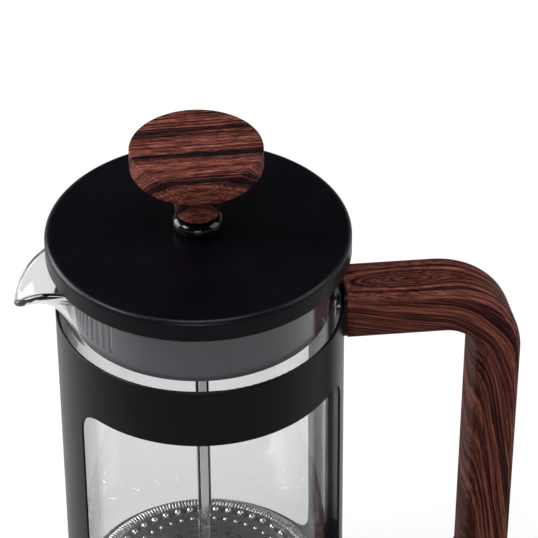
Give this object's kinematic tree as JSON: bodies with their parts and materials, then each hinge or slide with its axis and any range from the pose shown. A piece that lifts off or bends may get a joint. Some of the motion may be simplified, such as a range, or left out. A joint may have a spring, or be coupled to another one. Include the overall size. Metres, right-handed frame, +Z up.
{
  "type": "french press",
  "caption": "Glass french press coffee maker in a windowed black steel frame with a wood handle, lid and sliding filter plunger.",
  "frame": {"origin": "centre of the round foot on the surface that the press stands on", "axes": "+Z up along the plunger rod, +X towards the handle, -X towards the pouring spout"},
  "size_m": [0.179, 0.1054, 0.2148],
  "materials": {
    "black_steel": "matte black powder coat on sheet steel",
    "gloss_black": "gloss black",
    "black_rubber": "matte",
    "wood": "reddish brown with near black streaks, satin",
    "steel": "bright stainless steel",
    "brass": "machined",
    "glass": "clear heat resistant glass",
    "dark_plastic": "satin dark grey",
    "pale_plastic": "slippery white"
  },
  "bodies": {
    "frame": {"base_pad": "black_rubber", "base_plate": "black_steel", "base_cushion": "black_rubber", "frame_shell": "black_steel", "handle": "wood", "upper_saddle": "black_rubber", "lower_saddle": "black_rubber", "handle_screws": "steel", "screw_washers": "steel", "handle_inserts": "brass"},
    "beaker": {"beaker": "glass"},
    "lid_core": {"lid_bush": "gloss_black", "bush_sleeve": "pale_plastic", "lid_washer": "steel", "bush_nut": "steel"},
    "lid": {"lid_cover": "black_steel", "lid_liner": "dark_plastic"},
    "plunger": {"knob": "wood", "knob_insert": "brass", "plunger_rod": "steel", "rod_hub": "steel", "filter_plate": "steel", "filter_spacer": "steel", "filter_spring": "steel", "filter_mesh": "steel", "cross_plate": "steel", "filter_washer": "steel", "filter_nut": "steel"}
  },
  "joints": [
    {"name": "beaker_lift", "type": "slide", "parent": "frame", "child": "beaker", "axis": [0, 0, 1], "range_m": [0, 0.17]},
    {"name": "lid_lift", "type": "slide", "parent": "beaker", "child": "lid_core", "axis": [0, 0, 1], "range_m": [0, 0.18]},
    {"name": "lid_turn", "type": "hinge", "parent": "lid_core", "child": "lid", "pos_m": [0, 0, 0.1802], "axis": [0, 0, 1], "continuous": true},
    {"name": "plunger_slide", "type": "slide", "parent": "lid_core", "child": "plunger", "axis": [0, 0, 1], "range_m": [0, 0.12]}
  ]
}
